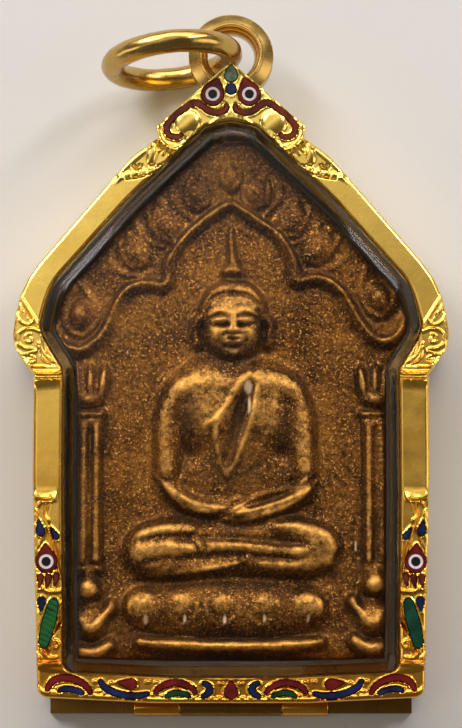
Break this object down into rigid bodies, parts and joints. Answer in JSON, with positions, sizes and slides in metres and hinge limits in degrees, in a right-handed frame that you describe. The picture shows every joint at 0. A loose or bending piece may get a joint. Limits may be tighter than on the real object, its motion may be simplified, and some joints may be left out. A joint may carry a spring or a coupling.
{
  "type": "thai buddha amulet pendant",
  "caption": "Pressed powder amulet with a seated figure in relief, in a clear capsule held by an enamelled gold case with a hinged back frame, a loop and a ring.",
  "frame": {"origin": "on the surface the pendant lies on, below the middle of its bounding box", "axes": "+Y along the pendant's length, up to its ring; +Z out of its front; +X to the right as seen from the front"},
  "size_m": [0.0342, 0.0558, 0.0114],
  "materials": {
    "gold": "polished, carved and cast relief",
    "clear_acrylic": "clear polished acrylic",
    "pressed_powder": "pressed bronze powder, dark in the hollows",
    "red_enamel": "glossy enamel",
    "blue_enamel": "glossy enamel",
    "green_enamel": "glossy enamel",
    "white_enamel": "glossy enamel",
    "black_enamel": "glossy enamel"
  },
  "bodies": {
    "back_frame": {"back_lid": "gold"},
    "case": {"front_case": "gold", "hinge_pin": "gold", "capsule_front": "clear_acrylic", "capsule_back": "clear_acrylic", "amulet": "pressed_powder", "crown_drop": "green_enamel", "brow_dot": "blue_enamel", "sill_drop": "red_enamel", "crown_lid_left": "red_enamel", "crown_eye_left": "white_enamel", "crown_pupil_left": "black_enamel", "crown_scroll_left": "red_enamel", "crown_lid_right": "red_enamel", "crown_eye_right": "white_enamel", "crown_pupil_right": "black_enamel", "crown_scroll_right": "red_enamel", "naga_wedge_left": "blue_enamel", "naga_lid_left": "red_enamel", "naga_eye_left": "white_enamel", "naga_pupil_left": "black_enamel", "naga_tongue_low_left": "red_enamel", "naga_tongue_mid_left": "red_enamel", "naga_tongue_high_left": "red_enamel", "naga_cheek_left": "blue_enamel", "naga_drop_left": "blue_enamel", "naga_leaf_left": "green_enamel", "naga_wedge_right": "blue_enamel", "naga_lid_right": "red_enamel", "naga_eye_right": "white_enamel", "naga_pupil_right": "black_enamel", "naga_tongue_low_right": "red_enamel", "naga_tongue_mid_right": "red_enamel", "naga_tongue_high_right": "red_enamel", "naga_cheek_right": "blue_enamel", "naga_drop_right": "blue_enamel", "naga_leaf_right": "green_enamel", "sill_arch_end_left": "red_enamel", "sill_crescent_end_left": "blue_enamel", "sill_comma_left": "blue_enamel", "sill_bud_left": "red_enamel", "sill_arch_mid_left": "red_enamel", "sill_crescent_mid_left": "green_enamel", "sill_wave_left": "blue_enamel", "sill_arch_end_right": "red_enamel", "sill_crescent_end_right": "blue_enamel", "sill_comma_right": "blue_enamel", "sill_bud_right": "red_enamel", "sill_arch_mid_right": "red_enamel", "sill_crescent_mid_right": "green_enamel", "sill_wave_right": "blue_enamel"},
    "ring": {"suspension_ring": "gold"}
  },
  "joints": [
    {"name": "back_hinge", "type": "hinge", "parent": "back_frame", "child": "case", "pos_m": [0, -0.02725, 0.00122], "axis": [1, 0, 0], "range_deg": [0, 100]},
    {"name": "ring_swing", "type": "hinge", "parent": "case", "child": "ring", "pos_m": [0, 0.02455, 0.0047], "axis": [0, 0, 1], "range_deg": [-167, 8]}
  ]
}
